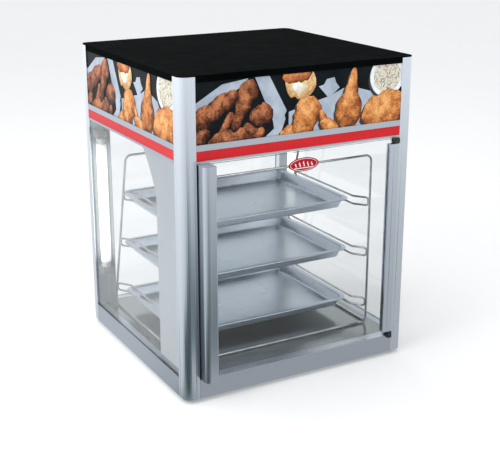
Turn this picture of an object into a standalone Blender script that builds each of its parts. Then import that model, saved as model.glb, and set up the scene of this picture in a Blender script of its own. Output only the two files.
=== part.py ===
"""Hot food display case: a heated glass cabinet on a counter, with a hinged glass door and three sheet pans.

Metres, +Z up, front towards -Y. The origin is at the middle of the footprint, on the counter.
"""

import math

import bmesh
import bpy
from mathutils import Matrix, Vector

# Driving dimensions of the case.
CASE_W = 0.572
CASE_D = 0.547
CASE_H = 0.700
FOOT_H = 0.010
POST = 0.034
POST_R = 0.019
GAP = 0.0003
DECK_T = 0.002

# Heights, measured up from the counter.
BASE_Z = FOOT_H
SILL_Z = BASE_Z + 0.044
HEAD_Z = BASE_Z + 0.521
STRIPE_Z = (BASE_Z + 0.526, BASE_Z + 0.547)
PRINT_Z = (BASE_Z + 0.560, BASE_Z + 0.686)
LID_Z = BASE_Z + CASE_H
LID_T = 0.002

LEFT, RIGHT = -CASE_W / 2, CASE_W / 2
FRONT, REAR = -CASE_D / 2, CASE_D / 2
INNER_L, INNER_R = LEFT + POST, RIGHT - POST
INNER_F, INNER_B = FRONT + POST, REAR - POST

# Glass and the slots that hold it.
SLOT_IN = 0.0025
SLOT_W = 0.005
SLOT_DEPTH = 0.007
GLASS_T = 0.004
GLASS_IN = SLOT_IN + (SLOT_W - GLASS_T) / 2
GLASS_BITE = 0.0055

# Door.
DOOR_CLEAR = 0.0015
HINGE_X = INNER_R - 0.009
HINGE_Y = FRONT - 0.001
STILE_W, STILE_D = 0.021, 0.014
STILE_Z = (SILL_Z + 0.0115, HEAD_Z - 0.0125)
BLOCK_W = 0.0105
HANDLE_X = (INNER_L + 0.0025, INNER_L + 0.032)
HANDLE_Y = (FRONT - 0.030, FRONT + 0.004)
PIN_R = 0.003

# Rack and pans.
WIRE_R = 0.0028
RACK_X = 0.240
RUNNER_X = 0.218
RACK_FRONT_Y = FRONT + 0.088
RACK_REAR_Y = (FRONT + 0.496, FRONT + 0.396)
RACK_TOP_Z = (BASE_Z + 0.463, BASE_Z + 0.452)
RUNNER_Z = tuple(BASE_Z + z for z in (0.086, 0.214, 0.339))
RUNNER_GAP = 0.019
PAN_W, PAN_L, PAN_H = 0.457, 0.330, 0.025
PAN_Y = FRONT + 0.307

# Lamps.
LAMP_X = 0.272
LAMP_Y = FRONT + 0.490
LAMP_R = 0.0125
LAMP_Z = (BASE_Z + 0.150, BASE_Z + 0.478)

parts = bpy.data.collections.new("hot_food_display_case")
cutters = bpy.data.collections.new("cutters")


def clear_scene():
    for obj in list(bpy.data.objects):
        bpy.data.objects.remove(obj, do_unlink=True)
    for group in (parts, cutters):
        bpy.context.scene.collection.children.link(group)


def material(name, colour, roughness, metallic=0.0, alpha=1.0, transmission=0.0):
    made = bpy.data.materials.new(name)
    made.use_nodes = True
    shader = made.node_tree.nodes["Principled BSDF"]
    shader.inputs["Base Color"].default_value = (*colour, 1.0)
    shader.inputs["Roughness"].default_value = roughness
    shader.inputs["Metallic"].default_value = metallic
    shader.inputs["Alpha"].default_value = alpha
    shader.inputs["Transmission Weight"].default_value = transmission
    made.diffuse_color = (*colour, alpha)
    return made


ALUMINIUM = material("aluminium", (0.52, 0.55, 0.60), 0.32, 1.0)
STEEL = material("stainless", (0.60, 0.61, 0.62), 0.25, 1.0)
CHROME = material("chrome_wire", (0.70, 0.71, 0.72), 0.12, 1.0)
PAN_METAL = material("pan_aluminium", (0.66, 0.68, 0.70), 0.35, 1.0)
BLACK_LID = material("black_lid", (0.006, 0.009, 0.009), 0.35)
GREY_COAT = material("grey_coat", (0.42, 0.45, 0.48), 0.45)
RED = material("red_stripe", (0.65, 0.03, 0.04), 0.35)
PRINT = material("header_print", (0.02, 0.03, 0.03), 0.4)
GLASS = material("clear_glass", (0.93, 0.97, 0.96), 0.02, 0.0, 0.25, 1.0)
LAMP_GLASS = material("lamp_glass", (1.0, 0.99, 0.94), 0.3)
BADGE = material("badge_red", (0.62, 0.01, 0.03), 0.3)
BLACK_PLASTIC = material("black_plastic", (0.012, 0.012, 0.013), 0.4)
RUBBER = material("foot_rubber", (0.02, 0.02, 0.02), 0.8)
ELEMENT = material("element_sheath", (0.22, 0.20, 0.19), 0.45, 1.0)


def adopt(name, mesh, look, group=None, smooth=40):
    """A new object in the parts collection, shaded smooth below the given angle."""
    obj = bpy.data.objects.new(name, mesh)
    (group or parts).objects.link(obj)
    if look:
        mesh.materials.append(look)
    if smooth:
        mesh.shade_smooth()
        mesh.set_sharp_from_angle(angle=math.radians(smooth))
    return obj


def mesh_of(bm, name):
    bmesh.ops.recalc_face_normals(bm, faces=bm.faces)
    mesh = bpy.data.meshes.new(name)
    bm.to_mesh(mesh)
    bm.free()
    return mesh


def add_box(bm, low, high):
    low, high = Vector(low), Vector(high)
    size, middle = high - low, (low + high) / 2
    matrix = Matrix.Translation(middle) @ Matrix.Diagonal((*size, 1.0))
    return bmesh.ops.create_cube(bm, size=1.0, matrix=matrix)["verts"]


def box(name, low, high, look, bevel=0.0, segments=1, group=None):
    """A box between two corners; its object sits at the middle of the box."""
    low, high = Vector(low), Vector(high)
    middle = (low + high) / 2
    bm = bmesh.new()
    add_box(bm, low - middle, high - middle)
    obj = adopt(name, mesh_of(bm, name), look, group)
    obj.location = middle
    if bevel:
        add_bevel(obj, bevel, segments)
    return obj


def add_bevel(obj, width, segments=1):
    bevel = obj.modifiers.new("bevel", "BEVEL")
    bevel.width = width
    bevel.segments = segments
    bevel.limit_method = "ANGLE"
    bevel.angle_limit = math.radians(50)


def cylinder(name, radius, depth, look, middle, axis="Z", sides=24, bevel=0.0, group=None):
    bm = bmesh.new()
    bmesh.ops.create_cone(
        bm, cap_ends=True, segments=sides, radius1=radius, radius2=radius, depth=depth
    )
    obj = adopt(name, mesh_of(bm, name), look, group)
    obj.location = middle
    if axis == "X":
        obj.rotation_euler = (0, math.radians(90), 0)
    if axis == "Y":
        obj.rotation_euler = (math.radians(90), 0, 0)
    if bevel:
        add_bevel(obj, bevel, 2)
    return obj


def cut(obj, tool, how="DIFFERENCE", solver="EXACT"):
    """Boolean that keeps its cutter hidden in the cutters collection."""
    tool.hide_render = True
    tool.display_type = "WIRE"
    boolean = obj.modifiers.new(how.lower(), "BOOLEAN")
    boolean.operation = how
    boolean.object = tool
    boolean.solver = solver


def cutter_box(low, high):
    return box("cut", low, high, None, group=cutters)


def cutter_cylinder(radius, depth, middle, axis="Z", sides=16):
    return cylinder("cut", radius, depth, None, middle, axis, sides, group=cutters)


def arc(centre, radius, start, end, steps):
    """Points on an arc, angles in degrees."""
    points = []
    for i in range(steps + 1):
        angle = math.radians(start + (end - start) * i / steps)
        points.append((centre[0] + radius * math.cos(angle), centre[1] + radius * math.sin(angle)))
    return points


def rounded(x0, y0, x1, y1, radius, steps=4):
    """Outline of a rectangle with round corners, anticlockwise."""
    corners = ((x1, y1, 0), (x0, y1, 90), (x0, y0, 180), (x1, y0, 270))
    points = []
    for x, y, start in corners:
        cx = x - radius if x == x1 else x + radius
        cy = y - radius if y == y1 else y + radius
        points += arc((cx, cy), radius, start, start + 90, steps)
    return points


def extruded(name, outlines, low, high, look, smooth=40, group=None):
    """A flat outline, with any inner outlines as holes, pulled from low to high along +Z."""
    curve = bpy.data.curves.new(name, "CURVE")
    curve.dimensions = "2D"
    curve.fill_mode = "BOTH"
    curve.extrude = (high - low) / 2
    for outline in outlines:
        spline = curve.splines.new("POLY")
        spline.points.add(len(outline) - 1)
        for point, (x, y) in zip(spline.points, outline):
            point.co = (x, y, 0, 1)
        spline.use_cyclic_u = True
    return baked(name, curve, look, smooth, group, (0, 0, (low + high) / 2))


def baked(name, curve, look, smooth=40, group=None, location=(0, 0, 0)):
    """Turns a curve into a closed mesh object and removes the curve."""
    guide = bpy.data.objects.new(name + "_guide", curve)
    bpy.context.scene.collection.objects.link(guide)
    bpy.context.view_layer.update()
    graph = bpy.context.evaluated_depsgraph_get()
    mesh = bpy.data.meshes.new_from_object(guide.evaluated_get(graph))
    bpy.data.objects.remove(guide, do_unlink=True)
    bm = bmesh.new()
    bm.from_mesh(mesh)
    bmesh.ops.remove_doubles(bm, verts=bm.verts, dist=0.00002)
    obj = adopt(name, mesh_of(bm, name), look, group, smooth)
    obj.location = location
    return obj


def turn(obj, matrix):
    """Bakes a matrix into the mesh of an object whose section was drawn flat."""
    obj.data.transform(matrix)
    if matrix.determinant() < 0:
        obj.data.flip_normals()
    return obj


def wire(name, points, look, radius=WIRE_R, closed=False):
    """A round wire through the points, with flat ends."""
    curve = bpy.data.curves.new(name, "CURVE")
    curve.dimensions = "3D"
    curve.bevel_depth = radius
    curve.bevel_resolution = 2
    curve.use_fill_caps = not closed
    spline = curve.splines.new("POLY")
    spline.points.add(len(points) - 1)
    for target, point in zip(spline.points, points):
        target.co = (*point, 1)
    spline.use_cyclic_u = closed
    return baked(name, curve, look, 60)


def fillet(points, radius, steps=4, closed=False):
    """The same route with each corner replaced by an arc of the given radius."""
    points = [Vector(p) for p in points]
    count = len(points)
    route = []
    for i, here in enumerate(points):
        if not closed and i in (0, count - 1):
            route.append(here)
            continue
        back = (points[i - 1] - here).normalized()
        ahead = (points[(i + 1) % count] - here).normalized()
        half = back.angle(ahead) / 2
        reach = radius / math.tan(half)
        start, end = here + back * reach, here + ahead * reach
        centre = here + (back + ahead).normalized() * (radius / math.sin(half))
        first, last = start - centre, end - centre
        sweep = first.angle(last)
        for k in range(steps + 1):
            t = k / steps
            mixed = first * math.sin((1 - t) * sweep) + last * math.sin(t * sweep)
            route.append(centre + mixed / math.sin(sweep))
    return route


# Frame ------------------------------------------------------------------------------------------


def post_section():
    """Section of the corner extrusion, its outer corner at (0, 0), with a slot in each inner face."""
    groove, lip_end = 0.0006, SLOT_IN
    slot_back = POST - SLOT_DEPTH
    slot_far = SLOT_IN + SLOT_W
    rise = [(lip_end, POST), (0.0, POST), (0.0, 0.0268), (groove, 0.0262), (0.0, 0.0256)]
    corner = arc((POST_R, POST_R), POST_R, 180, 270, 8)
    run = [(0.0256, 0.0), (0.0262, groove), (0.0268, 0.0), (POST, 0.0), (POST, lip_end)]
    slot_x = [(slot_back, lip_end), (slot_back, slot_far), (POST, slot_far)]
    slot_y = [(POST, POST), (slot_far, POST), (slot_far, slot_back), (lip_end, slot_back)]
    return rise + corner + run + slot_x + slot_y


def post_core():
    """Hollow down the middle of the extrusion."""
    return rounded(0.0115, 0.0115, 0.0315, 0.0315, 0.002, 1)


def corner_posts():
    top = LID_Z - LID_T - GAP
    for name, x, y, sx, sy in (
        ("post_front_left", LEFT, FRONT, 1, 1),
        ("post_front_right", RIGHT, FRONT, -1, 1),
        ("post_rear_left", LEFT, REAR, 1, -1),
        ("post_rear_right", RIGHT, REAR, -1, -1),
    ):
        post = extruded(name, [post_section(), post_core()], BASE_Z, top, ALUMINIUM)
        turn(post, Matrix.Diagonal((sx, sy, 1, 1)))
        post.location.x, post.location.y = x, y


def to_side(obj, side, length):
    """Stands a section drawn as (depth, height) along one side of the case, centred on it."""
    across = Matrix(((0, 0, 1, 0), (1, 0, 0, 0), (0, 1, 0, 0), (0, 0, 0, 1)))
    quarter = {"front": 0, "right": 90, "rear": 180, "left": 270}[side]
    spot = {
        "front": (0, FRONT, 0),
        "rear": (0, REAR, 0),
        "left": (LEFT, 0, 0),
        "right": (RIGHT, 0, 0),
    }[side]
    turn(obj, across)
    turn(obj, Matrix.Rotation(math.radians(quarter), 4, "Z"))
    obj.location = spot
    return obj


def side_length(side):
    return (CASE_W if side in ("front", "rear") else CASE_D) - 2 * POST - 2 * GAP


def rail(name, side, section, look=ALUMINIUM):
    half = side_length(side) / 2
    return to_side(extruded(name, section, -half, half, look), side, half)


SIDES = ("front", "rear", "left", "right")


def base_section(slotted):
    """Base fascia: hollow bar with, under glass, a slot in its top face."""
    low, high, deep = BASE_Z, SILL_Z, 0.024
    outer = [(0.0, low), (deep, low), (deep, high)]
    if slotted:
        far, floor = SLOT_IN + SLOT_W, high - SLOT_DEPTH
        outer += [(far, high), (far, floor), (SLOT_IN, floor), (SLOT_IN, high)]
    outer.append((0.0, high))
    hollow = [(0.010, low + 0.003), (0.021, low + 0.003), (0.021, high - 0.003), (0.010, high - 0.003)]
    return [outer, hollow]


def base_rails():
    for side in SIDES:
        rail("base_rail_" + side, side, base_section(side != "front"))


def header_section(slotted):
    """Header rail: a bar with a shallow recess for the stripe and, over glass, a slot below."""
    low, high, deep = HEAD_Z, PRINT_Z[0] - GAP, 0.016
    recess = 0.0012
    outer = [(0.0, STRIPE_Z[0]), (0.0, low)]
    if slotted:
        far, roof = SLOT_IN + SLOT_W, low + SLOT_DEPTH
        outer += [(SLOT_IN, low), (SLOT_IN, roof), (far, roof), (far, low)]
    outer += [(deep, low), (deep, high), (0.0, high), (0.0, STRIPE_Z[1])]
    outer += [(recess, STRIPE_Z[1]), (recess, STRIPE_Z[0])]
    return [outer]


def header_rails():
    for side in SIDES:
        rail("header_rail_" + side, side, header_section(side != "front"))
    for side in ("front", "left", "right"):
        low, high = STRIPE_Z[0] + GAP, STRIPE_Z[1] - GAP
        strip = [(0.0001, low), (0.0009, low), (0.0009, high), (0.0001, high)]
        rail("stripe_" + side, side, [strip], RED)


def feet():
    """Rubber feet, each with a stud that rises to the underside of the deck."""
    inset, radius, stud_r = 0.058, 0.016, 0.004
    stud_top = SILL_Z - DECK_T - GAP
    for end, y in (("front", FRONT + inset), ("rear", REAR - inset)):
        for hand, x in (("left", LEFT + inset), ("right", RIGHT - inset)):
            foot = cylinder(
                f"foot_{end}_{hand}", radius, FOOT_H, RUBBER, (x, y, FOOT_H / 2), sides=20, bevel=0.0015
            )
            length = stud_top - FOOT_H / 2
            stud = cutter_cylinder(stud_r, length, (x, y, stud_top - length / 2), sides=12)
            cut(foot, stud, "UNION")


def floor_pan():
    """Stainless deck: a flat sheet with its edge turned down inside the base rails."""
    deep = 0.024 + GAP
    x0, x1 = LEFT + deep, RIGHT - deep
    y0, y1 = FRONT + deep, REAR - deep
    top, under = SILL_Z, BASE_Z + 0.003
    bm = bmesh.new()
    add_box(bm, (x0, y0, under), (x1, y1, top))
    deck = adopt("floor_pan", mesh_of(bm, "floor_pan"), STEEL)
    wall = DECK_T
    hollow = cutter_box((x0 + wall, y0 + wall, under - 0.01), (x1 - wall, y1 - wall, top - wall))
    cut(deck, hollow)
    for sx in (-1, 1):
        for sy in (-1, 1):
            x, y = sx * (CASE_W / 2), sy * (CASE_D / 2)
            reach = POST + GAP
            low = (min(x, x - sx * reach), min(y, y - sy * reach), under - 0.01)
            high = (max(x, x - sx * reach), max(y, y - sy * reach), top + 0.01)
            cut(deck, cutter_box(low, high))


# Header -----------------------------------------------------------------------------------------


def panel_across(name, side, low, high, look, thick=0.003):
    """Flat panel whose ends sit in the slots of the two posts on that side."""
    half = side_length(side) / 2 + GLASS_BITE
    near = SLOT_IN + 0.0005
    section = [(near, low), (near + thick, low), (near + thick, high), (near, high)]
    return to_side(extruded(name, [section], -half, half, look), side, half)


def print_panels():
    for side in ("front", "left", "right"):
        panel_across("print_panel_" + side, side, PRINT_Z[0], PRINT_Z[1] - GAP, PRINT)


DRAWER_X = (-0.200, -0.070)
DRAWER_Z = (BASE_Z + 0.580, BASE_Z + 0.640)
DRAWER_DEEP = 0.150
SWITCH_X = (0.060, 0.100)
SWITCH_SIZE = (0.014, 0.022)
SWITCH_REST = -8
KNOB_X, INLET_X = 0.155, 0.225
CONTROL_Z = BASE_Z + 0.625
PANEL_Y = (REAR - 0.006, REAR - 0.003)


def control_panel():
    """Rear panel of the header, with holes for the drawer, switches, knob and inlet, and vents."""
    panel = panel_across("control_panel", "rear", PRINT_Z[0], PRINT_Z[1] - GAP, STEEL)
    clear = 0.001
    through = (REAR - 0.02, REAR + 0.02)
    cut(panel, cutter_box(
        (DRAWER_X[0] - clear, through[0], DRAWER_Z[0] - clear),
        (DRAWER_X[1] + clear, through[1], DRAWER_Z[1] + clear),
    ))
    for x in SWITCH_X:
        w, h = SWITCH_SIZE[0] / 2 + clear, SWITCH_SIZE[1] / 2 + clear
        low = (x - w, through[0], CONTROL_Z - h)
        cut(panel, cutter_box(low, (x + w, through[1], CONTROL_Z + h)))
    cut(panel, cutter_cylinder(0.0036, 0.04, (KNOB_X, REAR, CONTROL_Z), "Y"))
    cut(panel, cutter_cylinder(0.0104, 0.04, (INLET_X, REAR, CONTROL_Z), "Y", 24))
    for i in range(6):
        x = 0.050 + 0.018 * i
        low = (x, through[0], PRINT_Z[0] + 0.012)
        cut(panel, cutter_box(low, (x + 0.012, through[1], PRINT_Z[0] + 0.018)))


def top_lid():
    """Sheet lid over the posts, with a skirt that drops between them."""
    low = PRINT_Z[1]
    outline = rounded(LEFT, FRONT, RIGHT, REAR, POST_R, 6)
    lid = extruded("top_lid", [outline], low, LID_Z, BLACK_LID)
    skirt, under = 0.003, LID_Z - LID_T
    cut(lid, cutter_box((LEFT + skirt, FRONT + skirt, low - 0.01), (RIGHT - skirt, REAR - skirt, under)))
    for sx in (-1, 1):
        for sy in (-1, 1):
            x, y = sx * CASE_W / 2, sy * CASE_D / 2
            reach, past = POST + GAP, 0.01
            xs = sorted((x + sx * past, x - sx * reach))
            ys = sorted((y + sy * past, y - sy * reach))
            cut(lid, cutter_box((xs[0], ys[0], low - 0.01), (xs[1], ys[1], under)))


CEILING_Z = (HEAD_Z + 0.002, HEAD_Z + 0.0035)
BLOWER = (0.110, 0.030)
BLOWER_R, BLOWER_H = 0.058, 0.040
WHEEL_R, WHEEL_H = 0.046, 0.024


def ceiling_panel():
    """Perforated sheet between the cabinet and the header, with two ribs that carry the drawer."""
    deep = 0.016 + GAP
    x0, x1, y0, y1 = LEFT + deep, RIGHT - deep, FRONT + deep, REAR - deep
    notch = POST + GAP - deep
    outline = [
        (x0 + notch, y0), (x1 - notch, y0), (x1 - notch, y0 + notch), (x1, y0 + notch),
        (x1, y1 - notch), (x1 - notch, y1 - notch), (x1 - notch, y1), (x0 + notch, y1),
        (x0 + notch, y1 - notch), (x0, y1 - notch), (x0, y0 + notch), (x0 + notch, y0 + notch),
    ]
    slots = []
    for i in range(7):
        x = BLOWER[0] - 0.033 + 0.011 * i
        reach = math.sqrt(0.040**2 - (x - BLOWER[0]) ** 2)
        slots.append([
            (x - 0.002, BLOWER[1] - reach), (x + 0.002, BLOWER[1] - reach),
            (x + 0.002, BLOWER[1] + reach), (x - 0.002, BLOWER[1] + reach),
        ])
    for i in range(10):
        x = -0.190 + 0.042 * i
        slots.append([(x, y0 + 0.045), (x + 0.030, y0 + 0.045), (x + 0.030, y0 + 0.049), (x, y0 + 0.049)])
    sheet = extruded("ceiling_panel", [outline] + slots, *CEILING_Z, STEEL, smooth=0)
    for x in (DRAWER_X[0] + 0.010, DRAWER_X[1] - 0.014):
        y_end = PANEL_Y[0] - 0.0005
        rib = cutter_box(
            (x, y_end - DRAWER_DEEP, CEILING_Z[1] - 0.001), (x + 0.004, y_end - 0.012, DRAWER_Z[0] - GAP)
        )
        cut(sheet, rib, "UNION", "MANIFOLD")


def heater_element():
    """Sheathed element bent into a serpentine above the outlet slots."""
    z = CEILING_Z[1] + 0.022
    y0, pitch, reach = FRONT + 0.050, 0.022, 0.170
    points = [(reach + 0.045, y0, z)]
    for i in range(4):
        y = y0 + pitch * i
        ends = (reach, -reach) if i % 2 == 0 else (-reach, reach)
        points += [(end, y, z) for end in ends]
    points[1:2] = []
    points.append((reach + 0.045, y0 + 3 * pitch, z))
    points[-2:-1] = []
    wire("heater_element", fillet(points, 0.0105, 3), ELEMENT, 0.0035)


def blower():
    """Scroll housing open below, with its wheel and the motor that stands on it."""
    x, y = BLOWER
    low = CEILING_Z[1] + 0.004
    high, wall = low + BLOWER_H, 0.002
    middle = (x, y, (low + high) / 2)
    housing = cylinder("blower_housing", BLOWER_R, BLOWER_H, STEEL, middle, sides=32)
    duct = ((x - BLOWER_R, y - 0.085, low), (x - 0.010, y, high))
    cut(housing, cutter_box(*duct), "UNION")
    inside = BLOWER_H - 2 * wall
    cut(housing, cutter_cylinder(BLOWER_R - wall, inside, middle, sides=32))
    cut(housing, cutter_box(
        (duct[0][0] + wall, duct[0][1] - 0.01, low + wall), (duct[1][0] - wall, y, high - wall)
    ))
    cut(housing, cutter_cylinder(0.036, 0.02, (x, y, low), sides=24))
    cut(housing, cutter_cylinder(0.006, 0.02, (x, y, high)))
    wheel_low = low + (BLOWER_H - WHEEL_H) / 2
    blades, hub, half = 12, 0.013, 0.0008
    outline = []
    for i in range(blades):
        angle = 2 * math.pi * i / blades
        lean = 0.45
        across = Vector((-math.sin(angle), math.cos(angle))) * half
        root = Vector((math.cos(angle), math.sin(angle))) * hub
        bend = angle + lean * 0.4
        knee = Vector((math.cos(bend), math.sin(bend))) * (WHEEL_R * 0.62)
        tip = Vector((math.cos(angle + lean), math.sin(angle + lean))) * WHEEL_R
        outline += [tuple(p) for p in (root - across, knee - across, tip - across)]
        outline += [tuple(p) for p in (tip + across, knee + across, root + across)]
    bore = arc((0, 0), 0.0034, 0, 330, 11)
    wheel = extruded("blower_wheel", [outline, bore], wheel_low, wheel_low + WHEEL_H, BLACK_PLASTIC, 0)
    wheel.location.x, wheel.location.y = x, y
    shaft_low, body_low = wheel_low + 0.002, high + GAP
    motor_high = body_low + 0.034
    motor = cylinder(
        "blower_motor", 0.026, motor_high - body_low, ELEMENT, (x, y, (motor_high + body_low) / 2)
    )
    length = body_low + 0.01 - shaft_low
    cut(motor, cutter_cylinder(0.003, length, (x, y, shaft_low + length / 2)), "UNION")


def water_drawer():
    """Open tray that pulls out of the rear panel, with a bow handle."""
    x0, x1 = DRAWER_X
    z0, z1 = DRAWER_Z
    y1 = REAR - 0.0024
    y0 = y1 - DRAWER_DEEP
    wall, plate = 0.002, 0.0026
    tray = box("water_drawer", (x0, y0, z0), (x1, y1, z1), STEEL)
    lip = 0.006
    face = cutter_box((x0 - lip, y1 - 0.0002, z0 - lip), (x1 + lip, y1 + plate, z1 + lip))
    cut(tray, face, "UNION")
    cut(tray, cutter_box((x0 + wall, y0 + wall, z0 + wall), (x1 - wall, y1 - wall, z1 + 0.01)))
    middle, z = (x0 + x1) / 2, (z0 + z1) / 2
    front, thick, reach = y1 + plate, 0.006, 0.035
    out = REAR + 0.030
    cut(tray, cutter_box((middle - reach, front - 0.001, z - 0.005), (middle + reach, out, z + 0.005)), "UNION")
    inner = reach - thick
    cut(tray, cutter_box((middle - inner, front, z - 0.01), (middle + inner, out - thick, z + 0.01)))


def controls():
    """Rocker switches, thermostat knob and power inlet on the rear panel."""
    for name, x in zip(("power_switch", "light_switch"), SWITCH_X):
        half_w, half_h = SWITCH_SIZE[0] / 2 - 0.0005, SWITCH_SIZE[1] / 2 - 0.001
        section = [(-half_h, 0.0085), (0.0, 0.0065), (half_h, 0.0085), (half_h * 0.6, -0.004), (-half_h * 0.6, -0.004)]
        rocker = extruded(name, [section], -half_w, half_w, BLACK_PLASTIC, 30)
        turn(rocker, Matrix(((0, 0, 1, 0), (0, 1, 0, 0), (1, 0, 0, 0), (0, 0, 0, 1))))
        rocker.location = (x, PANEL_Y[0] - 0.001, CONTROL_Z)
        rocker.rotation_euler = (math.radians(SWITCH_REST), 0, 0)
        add_bevel(rocker, 0.0004)
    radius, front = 0.018, PANEL_Y[1] + 0.0008
    knob = cylinder(
        "thermostat_knob", radius, 0.016, BLACK_PLASTIC, (KNOB_X, front + 0.008, CONTROL_Z), "Y", 36, 0.001
    )
    shaft = cutter_cylinder(0.003, 0.022, (KNOB_X, front - 0.010, CONTROL_Z), "Y")
    cut(knob, shaft, "UNION")
    grip = cutter_box(
        (KNOB_X - 0.003, front + 0.010, CONTROL_Z - 0.017), (KNOB_X + 0.003, front + 0.021, CONTROL_Z + 0.017)
    )
    cut(knob, grip, "UNION")
    gland = cylinder("cord_gland", 0.0100, 0.028, BLACK_PLASTIC, (INLET_X, REAR - 0.002, CONTROL_Z), "Y")
    collar = cylinder(
        "cut", 0.014, 0.007, None, (INLET_X, PANEL_Y[1] + GAP + 0.0035, CONTROL_Z), "Y", 6, group=cutters
    )
    cut(gland, collar, "UNION")
    cut(gland, cutter_cylinder(0.0045, 0.06, (INLET_X, REAR, CONTROL_Z), "Y"))


# Glass and door ---------------------------------------------------------------------------------


def fixed_glass():
    for side in ("left", "right", "rear"):
        half = side_length(side) / 2 + GLASS_BITE
        low, high = SILL_Z - GLASS_BITE, HEAD_Z + GLASS_BITE
        section = [(GLASS_IN, low), (GLASS_IN + GLASS_T, low), (GLASS_IN + GLASS_T, high), (GLASS_IN, high)]
        to_side(extruded("glass_" + side, [section], -half, half, GLASS), side, half)


def door_handle():
    """Handle stile: a full-height grip with a round front edge, a reed and a slot for the glass."""
    x0, x1 = HANDLE_X
    y0, y1 = HANDLE_Y
    slot = (HINGE_Y - SLOT_W / 2, HINGE_Y + SLOT_W / 2)
    edge = 0.012
    outline = [(x0, y1)]
    outline += arc((x0 + edge, y0 + edge), edge, 180, 270, 7)
    reed = x0 + 0.0145
    outline += [(reed - 0.0008, y0 + 0.0002), (reed, y0 + 0.0014), (reed + 0.0008, y0 + 0.0014)]
    outline += arc((x1 - 0.003, y0 + 0.0044), 0.003, 270, 360, 3)
    outline += [(x1, slot[0]), (x1 - 0.008, slot[0]), (x1 - 0.008, slot[1]), (x1, slot[1]), (x1, y1)]
    low, high = SILL_Z + DOOR_CLEAR, HEAD_Z - DOOR_CLEAR
    handle = extruded("door_handle", [outline], low, high, ALUMINIUM, 30)
    core = rounded(x0 + 0.004, y0 + 0.005, x1 - 0.0105, y1 - 0.004, 0.003, 2)
    cut(handle, extruded("cut", [core], low - 0.01, high - 0.004, None, 0, cutters), solver="MANIFOLD")


def door_stile():
    """Hinge stile: clamps the glass on one side and turns on two pins in its bore."""
    x0 = HINGE_X - STILE_W
    half = STILE_D / 2
    slot, deep = SLOT_W / 2, 0.007
    groove = HINGE_X - 0.010
    outline = [(x0, HINGE_Y - slot), (x0, HINGE_Y - half)]
    outline += [(groove - 0.0008, HINGE_Y - half), (groove, HINGE_Y - half + 0.0010)]
    outline += [(groove + 0.0008, HINGE_Y - half)]
    outline += arc((HINGE_X, HINGE_Y), half, 270, 450, 10)
    outline += [(x0, HINGE_Y + half), (x0, HINGE_Y + slot)]
    outline += [(x0 + deep, HINGE_Y + slot), (x0 + deep, HINGE_Y - slot)]
    bore = arc((HINGE_X, HINGE_Y), PIN_R + 0.0004, 0, 337.5, 15)
    extruded("door_hinge_stile", [outline, bore], *STILE_Z, ALUMINIUM, 30)


def door_glass():
    x0 = HANDLE_X[1] - 0.0075
    x1 = HINGE_X - STILE_W + 0.0065
    half = GLASS_T / 2
    low = (x0, HINGE_Y - half, SILL_Z + DOOR_CLEAR)
    box("door_glass", low, (x1, HINGE_Y + half, HEAD_Z - DOOR_CLEAR), GLASS, 0.0004)


def door_badge():
    """Plain oval plate on the front of the door glass."""
    x, z = LEFT + 0.285, BASE_Z + 0.491
    half_w, half_h, thick, steps = 0.0375, 0.015, 0.0016, 36
    outline = []
    for i in range(steps):
        angle = 2 * math.pi * i / steps
        outline.append((half_w * math.cos(angle), half_h * math.sin(angle)))
    plate = extruded("door_badge", [outline], -thick / 2, thick / 2, BADGE)
    turn(plate, Matrix.Rotation(math.radians(90), 4, "X"))
    plate.location = (x, HINGE_Y - GLASS_T / 2 - thick / 2 - GAP, z)


def hinge_blocks():
    """Moulded pivots under the header and over the sill; the lower one hooks over the sill's edge."""
    x0, x1 = HINGE_X - BLOCK_W / 2, HINGE_X + BLOCK_W / 2
    y0, y1 = FRONT - 0.009, FRONT + 0.010
    top = box("hinge_block_top", (x0, y0, STILE_Z[1] + 0.001), (x1, y1, HEAD_Z - GAP), BLACK_PLASTIC, 0.0006)
    pin = 0.010
    cut(top, cutter_cylinder(PIN_R, 2 * pin, (HINGE_X, HINGE_Y, STILE_Z[1] + 0.002)), "UNION")
    low = box("hinge_block_bottom", (x0, y0, SILL_Z + GAP), (x1, y1, STILE_Z[0] - 0.001), BLACK_PLASTIC, 0.0006)
    cut(low, cutter_box((x0, y0, SILL_Z - 0.005), (x1, FRONT - GAP, SILL_Z + 0.004)), "UNION")
    cut(low, cutter_cylinder(PIN_R, 2 * pin, (HINGE_X, HINGE_Y, STILE_Z[0] - 0.001)), "UNION")


# Rack, pans, lamps ------------------------------------------------------------------------------

FLOOR_WIRE_Z = SILL_Z + WIRE_R + GAP


def rear_upright_y(z):
    share = (z - FLOOR_WIRE_Z) / (RACK_TOP_Z[1] - FLOOR_WIRE_Z)
    return RACK_REAR_Y[0] + share * (RACK_REAR_Y[1] - RACK_REAR_Y[0])


def rack_frames():
    low, high = FLOOR_WIRE_Z, RACK_TOP_Z[0]
    y = RACK_FRONT_Y
    corners = [(-RACK_X, y, low), (RACK_X, y, low), (RACK_X, y, high), (-RACK_X, y, high)]
    wire("rack_front_frame", fillet(corners, 0.014, 4, True), CHROME, closed=True)
    start = y + 2 * WIRE_R + GAP
    foot, top = RACK_REAR_Y
    high = RACK_TOP_Z[1]
    route = [(-RACK_X, start, low), (-RACK_X, foot, low), (-RACK_X, top, high)]
    route += [(RACK_X, top, high), (RACK_X, foot, low), (RACK_X, start, low)]
    wire("rack_rear_frame", fillet(route, 0.014, 4), CHROME)


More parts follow.
